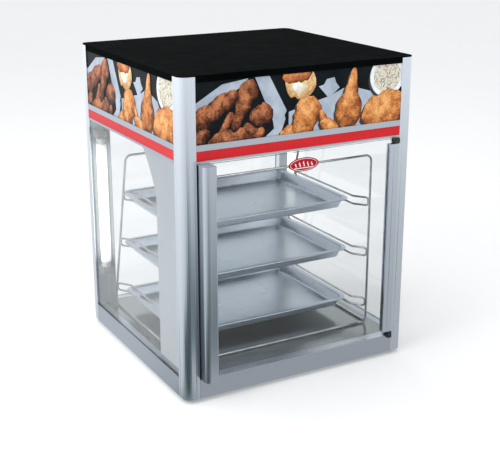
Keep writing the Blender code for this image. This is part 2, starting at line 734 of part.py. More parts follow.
def pan_runners():
    """Each runner is one bent loop: a lower wire that carries the pan and an upper one that keeps it level."""
    radius = WIRE_R - 0.0003
    off, lead = WIRE_R + radius + GAP, 0.030
    for hand, sign in (("left", -1), ("right", 1)):
        for level, z in enumerate(RUNNER_Z, 1):
            outer, inner = sign * RACK_X, sign * RUNNER_X
            route = []
            for height, forward in ((z, True), (z + RUNNER_GAP, False)):
                near = RACK_FRONT_Y + off
                far = rear_upright_y(height) - off
                run = [(outer, near, height), (inner, near + lead, height)]
                run += [(inner, far - lead, height), (outer, far, height)]
                route += run if forward else run[::-1]
            name = f"pan_runner_{hand}_{level}"
            wire(name, fillet(route, 0.006, 3, True), CHROME, radius, True)


def sheet_pan(name, rim_z):
    """Half-size sheet pan: flat floor, flared walls and a rolled rim, as one sheet with thickness."""
    thick, rim, bead = 0.0010, 0.0105, 0.0016
    half_w, half_l = PAN_W / 2, PAN_L / 2
    # Each ring is (inset from the outline, height above the bead's underside).
    floor_z = 2 * bead + thick - PAN_H
    rings = [
        (0.024, floor_z), (0.0215, floor_z + 0.0007), (0.0200, floor_z + 0.0030),
        (rim + 0.0022, 2 * bead - 0.0018), (rim + 0.0005, 2 * bead), (bead, 2 * bead),
        (0.0004, 1.55 * bead), (0.0, bead), (0.0006, 0.35 * bead),
    ]
    bm = bmesh.new()
    loops = []
    for inset, height in rings:
        outline = rounded(-half_w + inset, -half_l + inset, half_w - inset, half_l - inset, 0.030 - inset, 5)
        loops.append([bm.verts.new((x, y, height)) for x, y in outline])
    bm.faces.new(loops[0])
    for a, b in zip(loops, loops[1:]):
        for i in range(len(a)):
            j = (i + 1) % len(a)
            bm.faces.new((a[i], a[j], b[j], b[i]))
    pan = adopt(name, mesh_of(bm, name), PAN_METAL, smooth=35)
    pan.location = (0, PAN_Y, rim_z)
    shell = pan.modifiers.new("sheet", "SOLIDIFY")
    shell.thickness = thick * 0.6
    shell.offset = 0.0
    return pan


def sheet_pans():
    for level, z in enumerate(RUNNER_Z, 1):
        sheet_pan(f"sheet_pan_{level}", z + WIRE_R + GAP)


def lamps():
    """Upright tube lamp in each rear corner, held between two end holders on a bent channel."""
    z0, z1 = LAMP_Z
    for hand, sign in (("left", -1), ("right", 1)):
        x = sign * (RIGHT - 0.0225)
        middle = (x, LAMP_Y, (z0 + z1) / 2)
        cylinder(f"lamp_tube_{hand}", LAMP_R, z1 - z0, LAMP_GLASS, middle, sides=28, bevel=0.0015)
        back, flange, sheet = REAR - POST - 0.0005, 0.040, 0.0015
        wall, near = sign * (RIGHT - 0.0085), sign * (RIGHT - flange)
        inner = sign * (RIGHT - flange + sheet)
        plan = [(wall, back), (near, back), (near, LAMP_Y - 0.016), (inner, LAMP_Y - 0.016)]
        plan += [(inner, back - sheet), (wall, back - sheet)]
        low, high = SILL_Z + GAP, HEAD_Z - GAP
        channel = extruded(f"lamp_channel_{hand}", [plan], low, high, ALUMINIUM, 30)
        for start, end in ((z0 - 0.016, z0 - GAP), (z1 + GAP, z1 + 0.016)):
            xs = sorted((x - 0.0125, x + 0.0125))
            holder = cutter_box((xs[0], LAMP_Y - 0.012, start), (xs[1], back - 0.0005, end))
            cut(channel, holder, "UNION")


def corner_cover():
    """Sheet behind the front left post, whose rear edge sweeps back in a hollow curve at the top."""
    y0, y1, sweep = FRONT + POST + 0.0005, FRONT + 0.138, 0.067
    low, high, spring = SILL_Z + GAP, HEAD_Z - GAP, BASE_Z + 0.412
    outline = [(y0, low), (y1, low)]
    steps = 8
    for i in range(steps + 1):
        t = i / steps
        outline.append((y1 + sweep * t**1.5, spring + (high - spring) * t))
    outline.append((y0, high))
    thick, inside = 0.0012, GLASS_IN + GLASS_T + 0.001
    cover = extruded("corner_cover", [outline], LEFT + inside, LEFT + inside + thick, GREY_COAT)
    middle = cover.location.z
    cover.location = (0, 0, 0)
    to_world = Matrix(((0, 0, 1, middle), (1, 0, 0, 0), (0, 1, 0, 0), (0, 0, 0, 1)))
    turn(cover, to_world)


def build():
    clear_scene()
    for step in (
        corner_posts, base_rails, header_rails, feet, floor_pan, print_panels, control_panel, top_lid,
        ceiling_panel, heater_element, blower, water_drawer, controls, fixed_glass, door_handle,
        door_stile, door_glass, door_badge, hinge_blocks, rack_frames, pan_runners, sheet_pans, lamps,
        corner_cover,
    ):
        step()


build()
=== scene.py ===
"""Looks of the hot food display case: materials, printed header, badge, lamps, floor, light and camera."""

import math

import bmesh
import bpy
from mathutils import Matrix, Vector


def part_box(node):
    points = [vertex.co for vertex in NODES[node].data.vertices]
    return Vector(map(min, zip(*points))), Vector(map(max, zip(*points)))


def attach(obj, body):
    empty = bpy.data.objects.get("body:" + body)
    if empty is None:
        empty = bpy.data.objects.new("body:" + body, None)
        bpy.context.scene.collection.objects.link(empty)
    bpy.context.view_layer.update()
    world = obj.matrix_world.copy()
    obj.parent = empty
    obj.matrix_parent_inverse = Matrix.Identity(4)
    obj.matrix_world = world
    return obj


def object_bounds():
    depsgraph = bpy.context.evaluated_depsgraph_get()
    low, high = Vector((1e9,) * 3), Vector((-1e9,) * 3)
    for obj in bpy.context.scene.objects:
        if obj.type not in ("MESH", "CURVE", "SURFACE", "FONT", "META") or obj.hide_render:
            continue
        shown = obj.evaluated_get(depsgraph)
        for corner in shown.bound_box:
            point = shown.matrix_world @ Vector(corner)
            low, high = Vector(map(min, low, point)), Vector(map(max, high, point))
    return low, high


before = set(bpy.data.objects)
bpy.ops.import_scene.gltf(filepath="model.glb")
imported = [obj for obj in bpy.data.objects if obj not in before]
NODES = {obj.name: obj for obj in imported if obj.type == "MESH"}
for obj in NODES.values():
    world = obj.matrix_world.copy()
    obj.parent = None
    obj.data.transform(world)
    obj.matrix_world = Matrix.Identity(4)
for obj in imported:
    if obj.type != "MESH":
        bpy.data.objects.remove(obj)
cad_low, cad_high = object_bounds()

# Camera, in degrees and metres; the focal length is a multiple of the sensor's width.
CAMERA_AT = (-1.1417, -2.0897, 1.0579)
CAMERA_YAW, CAMERA_PITCH = 29.14, 17.91
CAMERA_FOCAL = 2.0788

# Studio surroundings, as reflections see them: the way to the brighter side, and the dim and bright ends.
STUDIO_BRIGHT_WAY = (-0.75, -0.1, 0.55)
STUDIO_RANGE = (0.25, 1.15)
FLOOR_BRIGHT_WAY = (-0.8, 0.6, 0)
FLOOR_LIFT = 0.16
# Two dark patches of floor that only reflections see: one left of the left front post, one ahead of it and
# of the door handle. Each fades across a band at its edges in X and Y, and both with distance, in metres.
PATCH_LEFT = {"dark": 0.85, "x": ((-0.85, -0.62), (-0.23, -0.31)), "y": (-0.32, -0.18)}
PATCH_AHEAD = {"dark": 0.62, "x": ((-0.45, -0.25), (0.35, 0.05)), "y": (-0.60, -0.42)}
PATCH_FADE = (0.9, 3.2)
REFLECTED_TINT = (0.93, 0.97, 1.0)
PATCH_TINT = (0.66, 0.95, 1.0)

# Materials.
GRAIN_LINES = 2200.0  # brushing lines per metre, across the grain
LAMP_STRENGTH = 1.35
LAMP_CAP, LAMP_FALL = 0.014, 0.045  # the tube's end cap, and the dimmer stretch beside it
HOLDER_HIGH = 0.0165  # the pale holders reach this far past each end of the tube
HOLDER_IN = 0.0016  # and stop this far short of the channel's rear
HOLDER_SIDES = (0.0355, 0.0095)  # the holders' inner and outer edge, in from the case's side
TUBE_LOW, TUBE_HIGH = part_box("lamp_tube_left")

# Small pieces, in metres.
POST_INNER_X = -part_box("post_front_left")[1].x
SEAL_GAP = 0.0005
SEAL_RIBS, RIB_HIGH, SEAL_THICK = 4, 0.0005, 0.004
ROCKER_GAP = 0.0016  # room for a rocker to tip inside its frame
ROCKER_RIM, ROCKER_FRAME_OUT = 0.0016, 0.0012
SCREW_INSET, SCREW_RADIUS = 0.012, 0.0032


# Materials --------------------------------------------------------------------------------------


class Look:
    """A material under construction: a Principled shader with short calls that add nodes to it."""

    def __init__(self, name, colour, roughness, metallic=0.0, **sockets):
        self.material = bpy.data.materials.new(name)
        self.material.use_nodes = True
        self.tree = self.material.node_tree
        self.shader = self.tree.nodes["Principled BSDF"]
        self.output = self.tree.nodes["Material Output"]
        self.put("Base Color", (*colour, 1.0))
        self.put("Roughness", roughness)
        self.put("Metallic", metallic)
        for socket, value in sockets.items():
            self.put(socket.replace("_", " "), value)

    def put(self, socket, value):
        self.shader.inputs[socket].default_value = value

    def node(self, kind, inputs=None, **settings):
        made = self.tree.nodes.new(kind)
        for key, value in settings.items():
            setattr(made, key, value)
        for key, value in (inputs or {}).items():
            self.feed(made.inputs[key], value)
        return made

    def feed(self, socket, value):
        if isinstance(value, bpy.types.NodeSocket):
            self.tree.links.new(value, socket)
        else:
            socket.default_value = value

    def where(self, scale=(1, 1, 1), turn=(0, 0, 0)):
        """Object coordinates in metres, stretched by scale."""
        place = self.node("ShaderNodeTexCoord").outputs["Object"]
        mapping = self.node("ShaderNodeMapping", {"Vector": place, "Scale": scale, "Rotation": turn})
        return mapping.outputs["Vector"]

    def noise(self, scale, detail=3.0, place=None, rough=0.5):
        inputs = {"Scale": scale, "Detail": detail, "Roughness": rough}
        inputs["Vector"] = place or self.where()
        return self.node("ShaderNodeTexNoise", inputs).outputs["Fac"]

    def cells(self, scale):
        inputs = {"Scale": scale, "Vector": self.where()}
        return self.node("ShaderNodeTexVoronoi", inputs).outputs["Distance"]

    def ramp(self, value, *stops):
        """Colour ramp; each stop is (position, grey) or (position, (r, g, b))."""
        made = self.node("ShaderNodeValToRGB", {"Fac": value})
        points = made.color_ramp.elements
        while len(points) < len(stops):
            points.new(0.5)
        for point, (position, colour) in zip(points, stops):
            if isinstance(colour, (int, float)):
                colour = (colour,) * 3
            point.position = position
            point.color = (*colour, 1.0)
        return made.outputs["Color"]

    def span(self, value, low, high, start=0.0, end=1.0):
        """value mapped from start..end to low..high, clamped."""
        inputs = {"Value": value, "From Min": start, "From Max": end, "To Min": low, "To Max": high}
        return self.node("ShaderNodeMapRange", inputs).outputs["Result"]

    def mix(self, share, first, second, blend="MIX"):
        made = self.node("ShaderNodeMix", data_type="RGBA", blend_type=blend)
        self.feed(made.inputs[0], share)
        for socket, value in ((made.inputs[6], first), (made.inputs[7], second)):
            self.feed(socket, (*value, 1.0) if isinstance(value, tuple) else value)
        return made.outputs[2]

    def maths(self, operation, first, second=0.0):
        made = self.node("ShaderNodeMath", operation=operation)
        self.feed(made.inputs[0], first)
        self.feed(made.inputs[1], second)
        return made.outputs[0]

    def colour(self, value):
        self.feed(self.shader.inputs["Base Color"], value)

    def roughness(self, value):
        self.feed(self.shader.inputs["Roughness"], value)

    def bump(self, height, distance, strength=1.0):
        inputs = {"Height": height, "Distance": distance, "Strength": strength}
        made = self.node("ShaderNodeBump", inputs)
        if self.shader.inputs["Normal"].is_linked:
            before = self.shader.inputs["Normal"].links[0].from_socket
            self.tree.links.new(before, made.inputs["Normal"])
        self.tree.links.new(made.outputs["Normal"], self.shader.inputs["Normal"])


def grain_metal(name, colour, roughness, along, spread=0.10, depth=0.00004, tint=0.06):
    """Drawn or brushed metal: fine lines along one axis, broad tone changes and faint marks."""
    look = Look(name, colour, roughness, 1.0)
    fine = [GRAIN_LINES] * 3
    fine["XYZ".index(along)] = 4.0
    lines = look.noise(1.0, 4.0, look.where(tuple(fine)), 0.7)
    broad = look.noise(7.0, 2.0)
    marks = look.ramp(look.noise(60.0, 6.0, rough=0.75), (0.62, 0.0), (0.80, 1.0))
    light = tuple(min(1.0, c * (1 + tint)) for c in colour)
    dark = tuple(c * (1 - tint) for c in colour)
    tone = look.mix(look.span(lines, 0.2, 0.8, 0.3, 0.7), dark, light)
    look.colour(look.mix(look.span(broad, 0.0, 0.35), tone, dark))
    rough = look.span(lines, roughness - spread * 0.5, roughness + spread * 0.5, 0.3, 0.7)
    look.roughness(look.maths("ADD", rough, look.maths("MULTIPLY", marks, 0.08)))
    look.bump(lines, depth)
    return look.material


def chrome_wire():
    look = Look("chrome_wire", (0.40, 0.41, 0.43), 0.18, 1.0)
    smear = look.noise(35.0, 4.0)
    look.colour(look.mix(look.span(smear, 0, 1, 0.35, 0.7), (0.32, 0.33, 0.34), (0.48, 0.49, 0.50)))
    look.roughness(look.span(look.noise(120.0, 3.0), 0.10, 0.26, 0.3, 0.7))
    look.bump(look.noise(420.0, 2.0), 0.00005)
    return look.material


def pan_metal():
    """Sheet aluminium hazed by washing, with fine rub lines two ways and faint baked stains."""
    look = Look("pan_aluminium", (0.50, 0.56, 0.62), 0.30, 1.0)
    haze = look.noise(14.0, 5.0, rough=0.65)
    rub = look.noise(1.0, 4.0, look.where((25.0, 1500.0, 60.0)), 0.65)
    cross = look.noise(1.0, 4.0, look.where((1300.0, 30.0, 60.0), (0, 0, 0.25)), 0.65)
    stain = look.ramp(look.noise(18.0, 6.0, rough=0.7), (0.60, 0.0), (0.80, 1.0))
    base = look.mix(look.span(haze, 0, 1, 0.3, 0.7), (0.42, 0.48, 0.55), (0.50, 0.56, 0.63))
    base = look.mix(look.span(rub, 0.0, 0.18, 0.35, 0.75), base, (0.60, 0.66, 0.72))
    base = look.mix(look.span(cross, 0.0, 0.12, 0.45, 0.80), base, (0.36, 0.42, 0.48))
    look.colour(look.mix(look.maths("MULTIPLY", stain, 0.08), base, (0.36, 0.31, 0.25)))
    hazed = look.span(haze, 0.26, 0.34, 0.3, 0.7)
    look.roughness(look.maths("ADD", hazed, look.span(rub, -0.02, 0.03, 0.3, 0.7)))
    look.bump(rub, 0.00001)
    return look.material


def painted(name, colour, roughness, gloss=0.5, orange=260.0, depth=0.00004, fade=0.12):
    """Sprayed coat: orange peel, faint tone drift, dust and rub marks in the gloss."""
    look = Look(name, colour, roughness, Specular_IOR_Level=gloss)
    drift = look.noise(5.0, 4.0)
    dust = look.ramp(look.noise(900.0, 3.0, rough=0.8), (0.66, 0.0), (0.80, 1.0))
    paler = tuple(min(1.0, c * (1 + fade) + 0.001) for c in colour)
    tone = look.mix(look.span(drift, 0, 1, 0.35, 0.65), colour, paler)
    lifted = tuple(min(1.0, c * 1.4 + 0.004) for c in colour)
    look.colour(look.mix(look.maths("MULTIPLY", dust, 0.25), tone, lifted))
    rub = look.noise(24.0, 5.0, rough=0.6)
    look.roughness(look.span(rub, roughness - 0.04, roughness + 0.06, 0.3, 0.7))
    look.bump(look.noise(orange, 2.0), depth)
    return look.material


def moulded(name, colour, roughness, grain=1500.0):
    """Moulded plastic or rubber with a fine spark-eroded grain."""
    look = Look(name, colour, roughness)
    grains = look.noise(grain, 3.0)
    tone = look.noise(30.0, 3.0)
    paler = tuple(min(1.0, c * 1.3 + 0.006) for c in colour)
    look.colour(look.mix(look.span(tone, 0, 1, 0.3, 0.7), colour, paler))
    look.roughness(look.span(grains, roughness - 0.07, roughness + 0.09, 0.3, 0.7))
    look.bump(grains, 0.00008)
    return look.material


def vinyl_strip():
    look = Look("red_stripe", (0.60, 0.010, 0.016), 0.36, Specular_IOR_Level=0.25)
    tone = look.noise(1.0, 3.0, look.where((3.0, 3.0, 60.0)))
    look.colour(look.mix(look.span(tone, 0, 1, 0.3, 0.7), (0.55, 0.008, 0.014), (0.64, 0.014, 0.020)))
    look.roughness(look.span(look.noise(300.0, 3.0), 0.28, 0.42, 0.3, 0.7))
    look.bump(look.noise(180.0, 2.0), 0.00005)
    return look.material


def badge_red():
    look = Look("badge_red", (0.42, 0.002, 0.016), 0.26, Specular_IOR_Level=0.2)
    tone = look.noise(60.0, 3.0)
    look.colour(look.mix(look.span(tone, 0, 1, 0.3, 0.7), (0.36, 0.001, 0.014), (0.46, 0.002, 0.020)))
    look.roughness(look.span(look.noise(500.0, 2.0), 0.18, 0.30, 0.3, 0.7))
    look.bump(look.noise(300.0, 2.0), 0.00003)
    return look.material


def clear_glass():
    """Soda glass with faint wiping haze; it lets lamp light through without caustics."""
    look = Look("clear_glass", (0.935, 0.948, 0.953), 0.0, IOR=1.45, Transmission_Weight=1.0)
    haze = look.noise(1.0, 4.0, look.where((9.0, 9.0, 22.0), (0.3, 0.4, 0.2)), 0.6)
    look.roughness(look.span(haze, 0.0, 0.035, 0.45, 0.75))
    path = look.node("ShaderNodeLightPath").outputs["Is Shadow Ray"]
    clear = look.node("ShaderNodeBsdfTransparent", {"Color": (0.955, 0.97, 0.97, 1)})
    blend = look.node("ShaderNodeMixShader")
    look.feed(blend.inputs[0], path)
    look.feed(blend.inputs[1], look.shader.outputs[0])
    look.feed(blend.inputs[2], clear.outputs[0])
    look.feed(look.output.inputs["Surface"], blend.outputs[0])
    return look.material


def lamp_glass(low, high):
    """Lit tube with a metal cap at each end and a slight fall-off next to it."""
    look = Look("lamp_glass", (0.95, 0.95, 0.92), 0.25)
    height = look.node("ShaderNodeSeparateXYZ", {"Vector": look.where()}).outputs["Z"]
    middle, half = (low + high) / 2, (high - low) / 2
    away = look.maths("ABSOLUTE", look.maths("SUBTRACT", height, middle))
    lit = look.span(away, 1.0, 0.0, half - LAMP_CAP - LAMP_FALL, half - LAMP_CAP)
    glow = look.maths("MULTIPLY", look.maths("POWER", lit, 0.5), LAMP_STRENGTH)
    metal = look.maths("GREATER_THAN", away, half - LAMP_CAP)
    look.colour(look.mix(metal, (0.93, 0.93, 0.90), (0.60, 0.60, 0.62)))
    look.feed(look.shader.inputs["Metallic"], metal)
    look.roughness(look.span(look.noise(200.0), 0.2, 0.34))
    look.put("Emission Color", (1.0, 0.965, 0.88, 1.0))
    look.feed(look.shader.inputs["Emission Strength"], glow)
    return look.material


def lamp_channel():
    """Aluminium channel whose end holders, above and below the tube, are pale plastic."""
    look = Look("lamp_channel", (0.60, 0.63, 0.66), 0.36, 1.0)
    place = look.node("ShaderNodeSeparateXYZ", {"Vector": look.where()})
    middle, half = (TUBE_LOW.z + TUBE_HIGH.z) / 2, (TUBE_HIGH.z - TUBE_LOW.z) / 2
    away = look.maths("ABSOLUTE", look.maths("SUBTRACT", place.outputs["Z"], middle))
    past = look.maths("GREATER_THAN", away, half)
    near = look.maths("LESS_THAN", away, half + HOLDER_HIGH)
    across = look.maths("ABSOLUTE", place.outputs["X"])
    inner = look.maths("GREATER_THAN", across, cad_high.x - HOLDER_SIDES[0])
    outer = look.maths("LESS_THAN", across, cad_high.x - HOLDER_SIDES[1])
    ahead = look.maths("LESS_THAN", place.outputs["Y"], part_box("lamp_channel_left")[1].y - HOLDER_IN)
    holder = look.maths("MULTIPLY", look.maths("MULTIPLY", past, near), look.maths("MULTIPLY", outer, inner))
    holder = look.maths("MULTIPLY", holder, ahead)
    lines = look.noise(1.0, 4.0, look.where((900.0, 900.0, 6.0)), 0.7)
    metal = look.mix(look.span(lines, 0, 1, 0.3, 0.7), (0.30, 0.34, 0.37), (0.40, 0.44, 0.47))
    look.colour(look.mix(holder, metal, (0.20, 0.175, 0.175)))
    look.feed(look.shader.inputs["Metallic"], look.maths("SUBTRACT", 1.0, holder))
    look.roughness(look.span(lines, 0.30, 0.44, 0.3, 0.7))
    look.bump(lines, 0.00004)
    return look.material


def element_sheath():
    look = Look("element_sheath", (0.20, 0.18, 0.17), 0.45, 1.0)
    tone = look.noise(70.0, 5.0, rough=0.7)
    scale = ((0.3, (0.10, 0.09, 0.09)), (0.5, (0.24, 0.20, 0.18)), (0.7, (0.30, 0.26, 0.30)))
    look.colour(look.ramp(tone, *scale))
    look.roughness(look.span(tone, 0.35, 0.6, 0.3, 0.7))
    look.bump(look.noise(700.0, 3.0), 0.00008)
    return look.material


def cover_sheet(low):
    """Satin aluminium sheet with painted shade along its lower edge: a dark band standing in for the shaded
    gap below it.
    """
    look = Look("cover_sheet", (0.50, 0.54, 0.58), 0.42, 1.0)
    height = look.node("ShaderNodeSeparateXYZ", {"Vector": look.where()}).outputs["Z"]
    # foot is a painted-shade mask: a dark band low on the sheet that stands in for the shaded gap beneath
    # the cover.
    foot = look.span(height, 1.0, 0.0, low + 0.013, low + 0.016)
    lines = look.noise(1.0, 4.0, look.where((GRAIN_LINES, GRAIN_LINES, 4.0)), 0.7)
    broad = look.noise(6.0, 3.0)
    sheet = look.mix(look.span(lines, 0, 1, 0.3, 0.7), (0.47, 0.51, 0.55), (0.55, 0.59, 0.63))
    sheet = look.mix(look.span(broad, 0.0, 0.4), sheet, (0.42, 0.46, 0.50))
    look.colour(look.mix(foot, sheet, (0.16, 0.19, 0.20)))
    look.roughness(look.span(lines, 0.36, 0.48, 0.3, 0.7))
    look.bump(lines, 0.00002)
    return look.material


def capped_handle(top):
    """Drawn aluminium whose upper end is closed by a grey plastic plug."""
    look = Look("door_handle_metal", (0.62, 0.66, 0.72), 0.28, 1.0)
    height = look.node("ShaderNodeSeparateXYZ", {"Vector": look.where()}).outputs["Z"]
    plug = look.maths("GREATER_THAN", height, top - 0.0004)
    lines = look.noise(1.0, 4.0, look.where((GRAIN_LINES, GRAIN_LINES, 4.0)), 0.7)
    metal = look.mix(look.span(lines, 0, 1, 0.3, 0.7), (0.60, 0.64, 0.70), (0.65, 0.69, 0.75))
    look.colour(look.mix(plug, metal, (0.34, 0.40, 0.44)))
    look.feed(look.shader.inputs["Metallic"], look.maths("SUBTRACT", 1.0, plug))
    drawn = look.span(lines, 0.26, 0.32, 0.3, 0.7)
    look.roughness(look.maths("ADD", drawn, look.maths("MULTIPLY", plug, 0.3)))
    look.bump(lines, 0.000008)
    return look.material


def dress(material, *names):
    """Gives CAD nodes their finished material."""
    for name in names:
        mesh = NODES[name].data
        mesh.materials.clear()
        mesh.materials.append(material)
        mesh.shade_smooth()
        mesh.set_sharp_from_angle(angle=math.radians(32))


def matching(*starts):
    return [name for name in NODES if name.startswith(starts)]


def dress_all():
    # Posts, stile and rails are one anodised aluminium. The grain direction of these four copies is real,
    # but their different base colours are painted light and shade for how each set of parts faces the light.
    upright = grain_metal("anodised_upright", (0.76, 0.80, 0.86), 0.22, "Z", 0.05, 0.000008, 0.03)
    along_x = grain_metal("anodised_along_x", (0.58, 0.62, 0.68), 0.30, "X", 0.06, 0.00001, 0.03)
    along_y = grain_metal("anodised_along_y", (0.48, 0.52, 0.58), 0.30, "Y", 0.06, 0.00001, 0.03)
    stile = grain_metal("anodised_stile", (0.66, 0.71, 0.77), 0.30, "Z", 0.06, 0.00001, 0.03)
    brushed_x = grain_metal("stainless_x", (0.40, 0.42, 0.43), 0.20, "X", 0.08, 0.00002, 0.03)
    # The deck's base colour, darker and greener than the other stainless, is painted shade for the shade
    # under the pans.
    deck = grain_metal("stainless_deck", (0.27, 0.30, 0.30), 0.20, "X", 0.08, 0.00002, 0.03)
    dress(upright, *matching("post_"))
    dress(capped_handle(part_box("door_handle")[1].z), "door_handle")
    dress(stile, "door_hinge_stile")
    for part in ("base_rail_", "header_rail_"):
        dress(along_x, part + "front", part + "rear")
        dress(along_y, part + "left", part + "right")
    dress(deck, "floor_pan")
    dress(brushed_x, "control_panel", "ceiling_panel", "blower_housing", "water_drawer")
    dress(chrome_wire(), *matching("rack_", "pan_runner_"))
    dress(pan_metal(), *matching("sheet_pan_"))
    dress(painted("black_lid", (0.0010, 0.0020, 0.0020), 0.60, gloss=0.006), "top_lid")
    dress(cover_sheet(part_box("corner_cover")[0].z), "corner_cover")
    dress(vinyl_strip(), *matching("stripe_"))
    dress(badge_red(), "door_badge")
    dress(clear_glass(), *matching("glass_"), "door_glass")
    dress(lamp_glass(TUBE_LOW.z, TUBE_HIGH.z), *matching("lamp_tube_"))
    dress(lamp_channel(), *matching("lamp_channel_"))
    dress(element_sheath(), "heater_element", "blower_motor")
    black = moulded("black_plastic", (0.012, 0.012, 0.013), 0.42)
    dress(black, "hinge_block_top", "hinge_block_bottom", "blower_wheel", "power_switch", "light_switch")
    dress(black, "thermostat_knob", "cord_gland")
    dress(moulded("foot_rubber", (0.02, 0.02, 0.02), 0.75, 700.0), *matching("foot_"))


# Printed header panels ---------------------------------------------------------------------------

# The print is this design's own: fried pieces, bread, a bowl of salad and torn paper on dark slate.
# Across is a share of the panel's width, up a share of its height; lengths are shares of the height.
PAPERS = (
    ((0, 0.66), (0.12, 0.93), (0.24, 0.99), (0.21, 0.86), (0.13, 0.74), (0, 0.52)),
    (
        (0.27, 1), (0.337, 1), (0.42, 0.40), (0.41, 0.32), (0.415, 0.26),
        (0.39, 0), (0.32, 0), (0.36, 0.12), (0.355, 0.25),
    ),
    (
        (0.43, 0.37), (0.55, 0.49), (0.63, 0.56), (0.70, 0.67), (0.78, 0.64),
        (0.905, 0.49), (0.86, 0.3), (0.84, 0), (0.43, 0),
    ),
    (
        (0.575, 0.74), (0.60, 0.76), (0.615, 0.85), (0.652, 0.87), (0.662, 0.77),
        (0.68, 0.69), (0.63, 0.54), (0.62, 0.55),
    ),
)
# Each piece: finish, across, up, tilt in degrees, length, then its half-widths along that length.
MORSELS = (
    ("roast", 0.03, 0.40, 55, 0.50, (0.12, 0.17, 0.13)),
    ("roast", 0.08, 0.50, 38, 0.90, (0.11, 0.16, 0.13, 0.17, 0.14, 0.11)),
    ("roast", 0.155, 0.66, 50, 0.40, (0.08, 0.12, 0.09)),
    ("roast", 0.02, 0.10, 30, 0.40, (0.07, 0.12, 0.08)),
    ("roast", 0.13, 0.20, 62, 0.62, (0.06, 0.09, 0.07, 0.09)),
    ("roast", 0.17, 0.05, 6, 0.95, (0.09, 0.15, 0.16, 0.13, 0.08)),
    ("roast", 0.262, 0.12, -38, 0.42, (0.07, 0.09, 0.05)),
    ("roast", 0.30, 0.36, 20, 0.46, (0.13, 0.18, 0.19, 0.14)),
    ("roast", 0.295, 0.06, 70, 0.24, (0.06, 0.09, 0.06)),
    ("roast", 0.215, 0.55, 66, 0.92, (0.10, 0.09, 0.10, 0.14, 0.17, 0.18, 0.14)),
    ("golden", 0.435, 0.02, 20, 0.42, (0.08, 0.13, 0.08)),
    ("golden", 0.515, 0.25, 68, 0.74, (0.17, 0.22, 0.22, 0.25, 0.24, 0.17)),
    ("golden", 0.60, 0.20, 112, 0.32, (0.11, 0.07, 0.03)),
    ("golden", 0.63, 0.05, -25, 0.42, (0.06, 0.13, 0.08)),
    ("golden", 0.915, 0.20, 14, 1.00, (0.18, 0.28, 0.33, 0.34, 0.30, 0.21)),
    ("golden", 0.735, 0.48, 82, 1.08, (0.15, 0.24, 0.27, 0.26, 0.21, 0.14, 0.09, 0.08, 0.10)),
    ("crumb", 0.485, 0.84, -14, 0.62, (0.15, 0.25, 0.27, 0.25, 0.16)),
    ("crust", 0.47, 0.98, 8, 0.60, (0.08, 0.13, 0.15, 0.10)),
    ("cream", 0.475, 0.76, -16, 0.26, (0.05, 0.09, 0.05)),
)
BOWL = (0.925, 0.80)
BOWL_RIM, BOWL_FILL = 0.36, 0.28
LAYER = 0.000035  # each printed layer lies this far in front of the one below
ROWS, COLUMNS = 22, 8
DISC_RINGS, DISC_STEPS = 4, 40


def along(widths, share):
    """Half-width at a share of the length: smooth between the given ones, rounded off at both ends."""
    place = share * (len(widths) - 1)
    first = min(int(place), len(widths) - 2)
    blend = (1 - math.cos(math.pi * (place - first))) / 2
    width = widths[first] * (1 - blend) + widths[first + 1] * blend
    return width * min(1.0, 2.6 * math.sqrt(max(0.0, share * (1 - share))))


